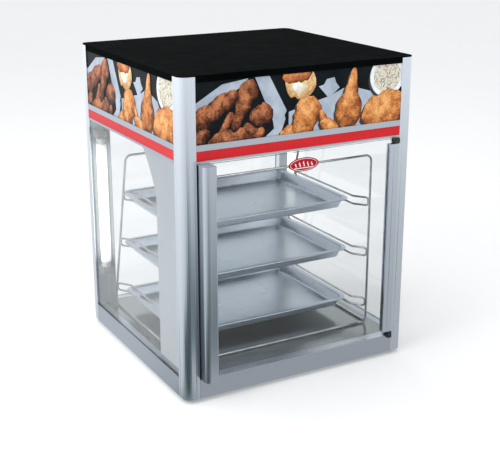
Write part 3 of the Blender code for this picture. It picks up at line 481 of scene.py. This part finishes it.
class Print:
    """One panel's print, drawn as flat shapes in metres across, up and out of the panel."""

    def __init__(self, width, height):
        self.width, self.height = width, height
        self.bm = bmesh.new()
        self.shade = self.bm.verts.layers.float.new("shade")
        self.level = 2

    def spot(self, across, up):
        return Vector((across * self.width, up * self.height, self.level * LAYER))

    def paint(self, face, slot):
        face.material_index = PRINT_SLOTS.index(slot)
        face.smooth = True

    def paper(self, outline):
        self.paint(self.bm.faces.new([self.bm.verts.new(self.spot(*p)) for p in outline]), "paper")
        self.level += 1

    def morsel(self, slot, across, up, tilt, length, widths, wobble=0.10, drop=(0, 0)):
        axis = Vector((math.cos(math.radians(tilt)), math.sin(math.radians(tilt)), 0))
        side = Vector((-axis.y, axis.x, 0))
        start = self.spot(across, up) + Vector((*drop, 0)) * self.height
        phase = across * 40 + up * 17
        grid = []
        for row in range(ROWS + 1):
            share = row / ROWS
            lump = 1 + wobble * (math.sin(share * 19 + phase) + math.sin(share * 31 + phase * 2)) / 2
            half = along(widths, share) * self.height * lump
            middle = start + axis * (share - 0.5) * length * self.height
            line = []
            for column in range(COLUMNS + 1):
                off = 2 * column / COLUMNS - 1
                vert = self.bm.verts.new(middle + side * off * half)
                vert[self.shade] = self.light(off, 2 * share - 1, axis, side)
                line.append(vert)
            grid.append(line)
        for lower, upper in zip(grid, grid[1:]):
            for a, b, c, d in zip(lower, lower[1:], upper[1:], upper):
                self.paint(self.bm.faces.new((a, d, c, b)), slot)
        self.level += 1

    def light(self, off, end, axis, side):
        """Printed shading: lit from the upper left, darker at the rim."""
        facing = side * off + axis * end
        rim = max(abs(off), abs(end)) ** 3
        return 0.62 + 0.40 * facing.dot(Vector((-0.3, 0.85, 0))) - 0.42 * rim

    def disc(self, slot, centre, radius, inner=0.0):
        """Round patch or ring, palest midway between its inner and outer edge."""
        rings = []
        for ring in range(DISC_RINGS + 1):
            reach = (inner + (radius - inner) * ring / DISC_RINGS) * self.height
            rise = math.sin(math.pi * ring / DISC_RINGS)
            line = []
            for step in range(DISC_STEPS):
                angle = 2 * math.pi * step / DISC_STEPS
                at = self.spot(*centre) + Vector((math.cos(angle), math.sin(angle), 0)) * reach
                vert = self.bm.verts.new(at)
                vert[self.shade] = 0.5 + 0.5 * rise * (0.6 - 0.4 * math.sin(angle))
                line.append(vert)
            rings.append(line)
        for lower, upper in zip(rings, rings[1:]):
            for step in range(DISC_STEPS):
                after = (step + 1) % DISC_STEPS
                self.paint(self.bm.faces.new((lower[step], upper[step], upper[after], lower[after])), slot)
        self.level += 1

    def trim(self):
        """Cuts away what runs past the panel's visible edges."""
        edges = ((0, (-1, 0, 0)), (self.width, (1, 0, 0)))
        for across, normal in edges:
            self.cut((across, 0, 0), normal)
        self.cut((0, 0, 0), (0, -1, 0))
        self.cut((0, self.height, 0), (0, 1, 0))

    def cut(self, point, normal):
        everything = list(self.bm.verts) + list(self.bm.edges) + list(self.bm.faces)
        bmesh.ops.bisect_plane(self.bm, geom=everything, plane_co=point, plane_no=normal, clear_outer=True)


PRINT_SLOTS = ("slate", "paper", "shadow", "roast", "golden", "crumb", "crust", "cream", "bowl", "salad")


def draw_print(width, height):
    sheet = Print(width, height)
    for outline in PAPERS:
        sheet.paper(outline)
    sheet.disc("shadow", (BOWL[0] - 0.008, BOWL[1] - 0.05), BOWL_RIM)
    sheet.disc("bowl", BOWL, BOWL_RIM, BOWL_FILL)
    sheet.disc("salad", BOWL, BOWL_FILL)
    for slot, across, up, tilt, length, widths in MORSELS:
        if slot == "golden":
            sheet.morsel("shadow", across, up, tilt, length, widths, drop=(-0.035, -0.03))
    for morsel in MORSELS:
        sheet.morsel(*morsel)
    sheet.trim()
    return sheet.bm


def food(name, dark, middle, light, crumb=420.0, shine=0.4):
    """Printed food: the drawn shade broken up by folds, clumps and a fine crumb."""
    look = Look(name, middle, shine, Specular_IOR_Level=0.15)
    shade = look.node("ShaderNodeAttribute", attribute_name="shade").outputs["Fac"]
    folds = look.noise(crumb * 0.13, 3.0, rough=0.55)
    clumps = look.noise(crumb * 0.5, 5.0, rough=0.65)
    bits = look.cells(crumb)
    drawn = look.maths("ADD", shade, look.span(folds, -0.30, 0.30, 0.3, 0.7))
    drawn = look.maths("ADD", drawn, look.span(clumps, -0.24, 0.24, 0.3, 0.7))
    drawn = look.maths("SUBTRACT", drawn, look.span(bits, -0.04, 0.08, 0.0, 0.9))
    look.colour(look.ramp(drawn, (0.06, dark), (0.46, middle), (0.90, light), (1.0, light)))
    look.roughness(look.span(clumps, shine - 0.08, shine + 0.08, 0.3, 0.7))
    return look.material


def speckled_salad():
    look = Look("print_salad", (0.7, 0.66, 0.55), 0.4, Specular_IOR_Level=0.3)
    bits = look.node("ShaderNodeTexVoronoi", {"Scale": 330.0, "Vector": look.where()})
    hue = look.node("ShaderNodeSeparateXYZ", {"Vector": bits.outputs["Color"]}).outputs["X"]
    stops = (
        (0.0, (0.72, 0.68, 0.58)),
        (0.45, (0.62, 0.60, 0.50)),
        (0.62, (0.16, 0.22, 0.07)),
        (0.74, (0.75, 0.72, 0.66)),
        (0.86, (0.42, 0.13, 0.06)),
        (0.94, (0.80, 0.76, 0.70)),
    )
    look.colour(look.ramp(hue, *stops))
    return look.material


def print_paper(name="print_paper", pale=(0.46, 0.52, 0.60), dim=(0.32, 0.38, 0.46)):
    look = Look(name, pale, 0.45, Specular_IOR_Level=0.1)
    fold = look.noise(22.0, 4.0, rough=0.6)
    look.colour(look.mix(look.span(fold, 0, 1, 0.35, 0.65), dim, pale))
    look.roughness(look.span(look.noise(400.0), 0.38, 0.5, 0.3, 0.7))
    return look.material


def print_looks():
    """The print's materials, in the order of PRINT_SLOTS."""
    return (
        print_paper("print_slate", (0.005, 0.009, 0.011), (0.002, 0.004, 0.005)),
        print_paper(),
        print_paper("print_shadow", (0.055, 0.060, 0.070), (0.030, 0.030, 0.032)),
        food("print_roast", (0.012, 0.005, 0.004), (0.15, 0.042, 0.017), (0.52, 0.19, 0.080)),
        food("print_golden", (0.14, 0.040, 0.010), (0.54, 0.185, 0.048), (0.86, 0.44, 0.16)),
        food("print_crumb", (0.50, 0.26, 0.10), (0.80, 0.58, 0.30), (0.95, 0.84, 0.62), 250.0),
        food("print_crust", (0.16, 0.035, 0.012), (0.48, 0.14, 0.045), (0.78, 0.34, 0.12), 200.0),
        food("print_cream", (0.62, 0.60, 0.50), (0.82, 0.80, 0.70), (0.95, 0.94, 0.88), 200.0),
        food("print_bowl", (0.42, 0.46, 0.48), (0.72, 0.75, 0.77), (0.88, 0.90, 0.90), 60.0),
        speckled_salad(),
    )


def panel_frames():
    """For each printed panel: its lower left corner as seen, and its across, up and outward directions."""
    front_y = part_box("print_panel_front")[0].y
    left_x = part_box("print_panel_left")[0].x
    right_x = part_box("print_panel_right")[1].x
    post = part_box("post_front_left")[1]
    edge_x, edge_y = post.x, post.y
    rear_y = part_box("post_rear_left")[0].y
    floor_z, top_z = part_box("header_rail_front")[1].z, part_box("top_lid")[0].z
    height = top_z - floor_z
    deep = rear_y - edge_y
    up = Vector((0, 0, 1))
    yield "front", Vector((edge_x, front_y, floor_z)), Vector((1, 0, 0)), up, -2 * edge_x, height
    yield "left", Vector((left_x, rear_y, floor_z)), Vector((0, -1, 0)), up, deep, height
    yield "right", Vector((right_x, edge_y, floor_z)), Vector((0, 1, 0)), up, deep, height


def header_prints():
    looks = print_looks()
    for side, corner, across, up, width, height in panel_frames():
        bm = draw_print(width, height)
        out = across.cross(up)
        turn = Matrix((across, up, out)).transposed().to_4x4()
        bm.transform(Matrix.Translation(corner) @ turn)
        new_piece(f"header_print_{side}", bm, looks, "case", "header_print")
        dress(looks[0], f"print_panel_{side}")


def new_piece(name, bm, looks, body, slot):
    """Makes an object of a bmesh, with its materials, riding on a body."""
    if slot != "header_print":
        bmesh.ops.recalc_face_normals(bm, faces=bm.faces)
    mesh = bpy.data.meshes.new(name)
    bm.to_mesh(mesh)
    bm.free()
    for look in looks:
        mesh.materials.append(look)
    obj = bpy.data.objects.new(name, mesh)
    bpy.context.scene.collection.objects.link(obj)
    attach(obj, body)
    return obj


# Small pieces -----------------------------------------------------------------------------------


def enamel(name, colour, roughness=0.25):
    look = Look(name, colour, roughness, Coat_Weight=0.4, Coat_Roughness=0.08)
    tone = look.noise(400.0, 3.0)
    look.colour(look.mix(look.span(tone, 0, 1, 0.3, 0.7), colour, tuple(c * 0.88 for c in colour)))
    look.roughness(look.span(tone, roughness - 0.05, roughness + 0.08, 0.3, 0.7))
    look.bump(tone, 0.00003)
    return look.material


def strand(bm, points, radius, closed=False, sides=8):
    """Adds a round bar along points; an open one gets its ends closed."""
    rings = []
    count = len(points)
    for index, point in enumerate(points):
        before = points[index - 1] if index or closed else point
        after = points[(index + 1) % count] if index + 1 < count or closed else point
        ahead = (after - before).normalized()
        across = ahead.cross(Vector((0, 1, 0.001))).normalized()
        up = across.cross(ahead)
        turns = [2 * math.pi * step / sides for step in range(sides)]
        spokes = [(across * math.cos(turn) + up * math.sin(turn)) * radius for turn in turns]
        rings.append([bm.verts.new(point + spoke) for spoke in spokes])
    pairs = list(zip(rings, rings[1:]))
    if closed:
        pairs.append((rings[-1], rings[0]))
    for first, second in pairs:
        for step in range(sides):
            after = (step + 1) % sides
            bm.faces.new((first[step], first[after], second[after], second[step])).smooth = True
    if not closed:
        bm.faces.new(rings[0])
        bm.faces.new(rings[-1])


def badge_details():
    """A pale oval line and five plumes of steam over a bar, raised on the badge."""
    low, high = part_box("door_badge")
    centre = (low + high) / 2
    half = (high - low) / 2
    pale = enamel("badge_enamel", (0.86, 0.84, 0.84))
    line = bmesh.new()
    wide, high = 0.88 * half.x, 0.84 * half.z
    turns = [2 * math.pi * step / 72 for step in range(72)]
    oval = [Vector((centre.x + wide * math.cos(a), low.y, centre.z + high * math.sin(a))) for a in turns]
    strand(line, oval, 0.0005, closed=True)
    new_piece("badge_line", line, [pale], "door", "badge_red")
    icon = bmesh.new()
    gap, foot, bar_wide, bar_down = 0.0100, 0.0040, 0.048, 0.0072
    for plume in (-2, -1, 0, 1, 2):
        rise = 0.0106 - 0.0018 * abs(plume)
        path = []
        for step in range(17):
            share = step / 16
            sway = 0.0012 * math.sin(2 * math.pi * share)
            path.append(Vector((centre.x + plume * gap + sway, low.y, centre.z - foot + rise * share)))
        strand(icon, path, 0.0013)
    bar = [Vector((centre.x + (step / 8 - 0.5) * bar_wide, low.y, centre.z - bar_down)) for step in range(9)]
    strand(icon, bar, 0.0011)
    new_piece("badge_icon", icon, [pale], "door", "badge_red")


def screw(bm, place):
    """A pan-head screw: a domed head with a cross recess, standing out towards +Y."""
    out = Vector((0, 1, 0))
    side = out.orthogonal().normalized()
    other = out.cross(side)
    rings = []
    for reach, height in ((1.0, 0.0), (1.0, 0.25), (0.85, 0.46), (0.55, 0.58), (0.30, 0.60), (0.22, 0.30)):
        line = []
        for step in range(20):
            angle = 2 * math.pi * step / 20
            pinch = 1.0 if reach > 0.4 else 1.0 + 0.45 * math.cos(4 * angle)
            flat = (side * math.cos(angle) + other * math.sin(angle)) * SCREW_RADIUS * reach * pinch
            line.append(bm.verts.new(Vector(place) + flat + out * SCREW_RADIUS * height))
        rings.append(line)
    for lower, upper in zip(rings, rings[1:]):
        for step in range(20):
            after = (step + 1) % 20
            bm.faces.new((lower[step], lower[after], upper[after], upper[step])).smooth = True
    bm.faces.new(rings[-1])
    bm.faces.new(rings[0])


def panel_screws():
    """Two rows of screws, along the top and the bottom of the control panel."""
    low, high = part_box("control_panel")
    edge = POST_INNER_X - SCREW_INSET
    bm = bmesh.new()
    for share in (0.0, 0.25, 0.5, 0.75, 1.0):
        for height in (high.z - SCREW_INSET, low.z + SCREW_INSET):
            screw(bm, (-edge + 2 * edge * share, high.y, height))
    steel = grain_metal("screw_steel", (0.55, 0.55, 0.56), 0.28, "Z", 0.1, 0.00002)
    new_piece("control_panel_screws", bm, [steel], "case", "stainless")


def block(bm, low, high):
    made = bmesh.ops.create_cube(bm, size=1.0)
    middle, size = (Vector(low) + Vector(high)) / 2, Vector(high) - Vector(low)
    for vert in made["verts"]:
        vert.co = middle + Vector((vert.co.x * size.x, vert.co.y * size.y, vert.co.z * size.z))


def dial_marks():
    """Plain ticks round the thermostat, growing round the dial."""
    low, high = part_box("thermostat_knob")
    centre = (low + high) / 2
    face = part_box("control_panel")[1].y
    reach = (high.x - low.x) / 2 + 0.004
    bm = bmesh.new()
    for tick in range(10):
        angle = math.radians(225 - 30 * tick)
        way = Vector((-math.cos(angle), 0, math.sin(angle)))
        start = Vector((centre.x, face + 0.0001, centre.z)) + way * reach
        strand(bm, [start, start + way * (0.0022 + 0.0004 * tick)], 0.00045 + 0.00003 * tick, sides=6)
    ink = enamel("dial_ink", (0.02, 0.02, 0.022), 0.5)
    new_piece("thermostat_marks", bm, [ink], "case", "black_plastic")


def rocker_frames():
    """Raised black frames round the two rocker switches."""
    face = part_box("control_panel")[1].y
    bm = bmesh.new()
    for name in ("power_switch", "light_switch"):
        low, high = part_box(name)
        rim, out = ROCKER_GAP + ROCKER_RIM, face + ROCKER_FRAME_OUT
        for x_low, x_high, z_low, z_high in (
            (low.x - rim, low.x - ROCKER_GAP, low.z - rim, high.z + rim),
            (high.x + ROCKER_GAP, high.x + rim, low.z - rim, high.z + rim),
            (low.x - ROCKER_GAP, high.x + ROCKER_GAP, high.z + ROCKER_GAP, high.z + rim),
            (low.x - ROCKER_GAP, high.x + ROCKER_GAP, low.z - rim, low.z - ROCKER_GAP),
        ):
            block(bm, (x_low, face + 0.0001, z_low), (x_high, out, z_high))
    plastic = moulded("rocker_frame", (0.015, 0.015, 0.016), 0.35)
    new_piece("rocker_frames", bm, [plastic], "case", "black_plastic")


def door_seals():
    """Black rubber strips on the case behind the door's two upright edges, ribbed along their length."""
    rubber = moulded("seal_rubber", (0.012, 0.012, 0.013), 0.6, 900.0)
    handle_low, handle_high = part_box("door_handle")
    stile_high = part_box("door_hinge_stile")[1]
    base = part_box("base_rail_front")[1].z + SEAL_GAP
    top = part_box("header_rail_front")[0].z - SEAL_GAP
    strips = (
        ("latch", -POST_INNER_X + SEAL_GAP, handle_low.x + 0.010, handle_high.y + SEAL_GAP),
        ("hinge", stile_high.x - 0.010, POST_INNER_X - SEAL_GAP, stile_high.y + SEAL_GAP),
    )
    for side, left, right, front in strips:
        bm = bmesh.new()
        outline = []
        for step in range(SEAL_RIBS * 6 + 1):
            share = step / (SEAL_RIBS * 6)
            ridge = RIB_HIGH * abs(math.sin(math.pi * SEAL_RIBS * share))
            outline.append((left + (right - left) * share, front + RIB_HIGH - ridge))
        outline += [(right, front + SEAL_THICK), (left, front + SEAL_THICK)]
        lower = [bm.verts.new((x, y, base)) for x, y in outline]
        upper = [bm.verts.new((x, y, top)) for x, y in outline]
        bm.faces.new(lower)
        bm.faces.new(upper)
        for step in range(len(outline)):
            after = (step + 1) % len(outline)
            bm.faces.new((lower[step], lower[after], upper[after], upper[step]))
        new_piece(f"door_seal_{side}", bm, [rubber], "case", "foot_rubber")


def small_pieces():
    badge_details()
    door_seals()
    panel_screws()
    dial_marks()
    rocker_frames()


# Stage ------------------------------------------------------------------------------------------


def dark_patch(look, spot, patch):
    """How much a patch of floor darkens the place seen, fading in across its edges."""
    (left, left_full), (right, right_full) = patch["x"]
    near_left = look.span(spot["X"], 0, 1, left, left_full)
    near_right = look.span(spot["X"], 0, 1, right, right_full)
    across = look.maths("MULTIPLY", near_right, near_left)
    return look.maths("MULTIPLY", across, look.span(spot["Y"], patch["dark"], 0, *patch["y"]))


def mirrored_floor(look):
    """The floor as reflections see it: brighter far off and to the left, with the two dark patches."""
    place = look.node("ShaderNodeTexCoord").outputs["Object"]
    reach = look.node("ShaderNodeVectorMath", {0: place}, operation="LENGTH").outputs["Value"]
    heading = look.node("ShaderNodeVectorMath", {0: place}, operation="NORMALIZE").outputs["Vector"]
    toward = {0: heading, 1: FLOOR_BRIGHT_WAY}
    left = look.node("ShaderNodeVectorMath", toward, operation="DOT_PRODUCT").outputs["Value"]
    level = look.maths("ADD", look.span(reach, 0.50, 1.05, 0.4, 5.0), look.span(left, 0, 0.32))
    spot = look.node("ShaderNodeSeparateXYZ", {"Vector": place}).outputs
    beside = dark_patch(look, spot, PATCH_LEFT)
    ahead = dark_patch(look, spot, PATCH_AHEAD)
    shade = look.maths("MAXIMUM", beside, ahead)
    shade = look.maths("MULTIPLY", shade, look.span(reach, 1.0, 0.0, *PATCH_FADE))
    level = look.maths("MULTIPLY", level, look.maths("SUBTRACT", 1.0, shade))
    tint = look.mix(shade, REFLECTED_TINT, PATCH_TINT)
    return look.node("ShaderNodeEmission", {"Color": tint, "Strength": level})


def floor():
    """Pale floor, which reflections see as another, dimmer one."""
    bm = bmesh.new()
    bmesh.ops.create_grid(bm, x_segments=1, y_segments=1, size=12.0)
    mesh = bpy.data.meshes.new("floor")
    bm.to_mesh(mesh)
    bm.free()
    obj = bpy.data.objects.new("floor", mesh)
    bpy.context.scene.collection.objects.link(obj)
    look = Look("floor_pale", (0.80, 0.80, 0.80), 0.75, Specular_IOR_Level=0.1)
    look.colour(look.mix(look.span(look.noise(1.5), 0, 1), (0.83, 0.83, 0.83), (0.86, 0.86, 0.86)))
    look.put("Emission Color", (1.0, 1.0, 1.0, 1.0))
    look.put("Emission Strength", FLOOR_LIFT)
    path = look.node("ShaderNodeLightPath").outputs
    mirrored = look.maths("SUBTRACT", path["Is Glossy Ray"], path["Is Transmission Ray"])
    blend = look.node("ShaderNodeMixShader")
    look.feed(blend.inputs[0], mirrored)
    look.feed(blend.inputs[1], look.shader.outputs[0])
    look.feed(blend.inputs[2], mirrored_floor(look).outputs[0])
    look.feed(look.output.inputs["Surface"], blend.outputs[0])
    mesh.materials.append(look.material)


def area_light(name, spot, target, size, power, colour=(1, 1, 1)):
    data = bpy.data.lights.new(name, "AREA")
    data.shape = "RECTANGLE"
    data.size, data.size_y = size
    data.energy = power
    data.color = colour
    lamp = bpy.data.objects.new(name, data)
    bpy.context.scene.collection.objects.link(lamp)
    lamp.location = spot
    lamp.rotation_euler = (Vector(target) - Vector(spot)).to_track_quat("-Z", "Y").to_euler()


def lights():
    middle = (0, 0, 0.35)
    area_light("key", (-2.4, -0.7, 2.1), middle, (1.6, 1.6), 30)
    area_light("fill", (0.9, -2.6, 1.6), middle, (1.4, 1.4), 10)
    area_light("top", (-0.2, 0.8, 2.6), middle, (2.0, 2.0), 14)
    studio()


def studio():
    """White behind the object and through its glass; reflections see a lit left side and a dimmer right."""
    world = bpy.data.worlds.new("studio")
    world.use_nodes = True
    tree = world.node_tree
    ground = tree.nodes["Background"]
    direction = tree.nodes.new("ShaderNodeTexCoord").outputs["Generated"]
    lean = tree.nodes.new("ShaderNodeVectorMath")
    lean.operation = "DOT_PRODUCT"
    lean.inputs[1].default_value = STUDIO_BRIGHT_WAY
    tree.links.new(direction, lean.inputs[0])
    fade = tree.nodes.new("ShaderNodeMapRange")
    fade.inputs["From Min"].default_value = -0.8
    fade.inputs["From Max"].default_value = 0.9
    fade.inputs["To Min"].default_value, fade.inputs["To Max"].default_value = STUDIO_RANGE
    tree.links.new(lean.outputs["Value"], fade.inputs["Value"])
    path = tree.nodes.new("ShaderNodeLightPath")
    seen = tree.nodes.new("ShaderNodeMath")
    seen.operation = "MAXIMUM"
    tree.links.new(path.outputs["Is Camera Ray"], seen.inputs[0])
    tree.links.new(path.outputs["Is Transmission Ray"], seen.inputs[1])
    strength = tree.nodes.new("ShaderNodeMix")
    tree.links.new(seen.outputs[0], strength.inputs[0])
    tree.links.new(fade.outputs["Result"], strength.inputs[2])
    strength.inputs[3].default_value = 1.0
    tree.links.new(strength.outputs[0], ground.inputs["Strength"])
    ground.inputs["Color"].default_value = (0.97, 0.985, 1.0, 1.0)
    bpy.context.scene.world = world
    bpy.context.scene.view_settings.view_transform = "Standard"


def camera():
    data = bpy.data.cameras.new("camera")
    data.sensor_width = 36.0
    data.lens = 36.0 * CAMERA_FOCAL
    data.clip_start, data.clip_end = 0.05, 50.0
    obj = bpy.data.objects.new("camera", data)
    bpy.context.scene.collection.objects.link(obj)
    obj.location = CAMERA_AT
    obj.rotation_euler = (math.radians(90 - CAMERA_PITCH), 0, math.radians(-CAMERA_YAW))
    bpy.context.scene.camera = obj


camera()
dress_all()
header_prints()
small_pieces()
floor()
lights()
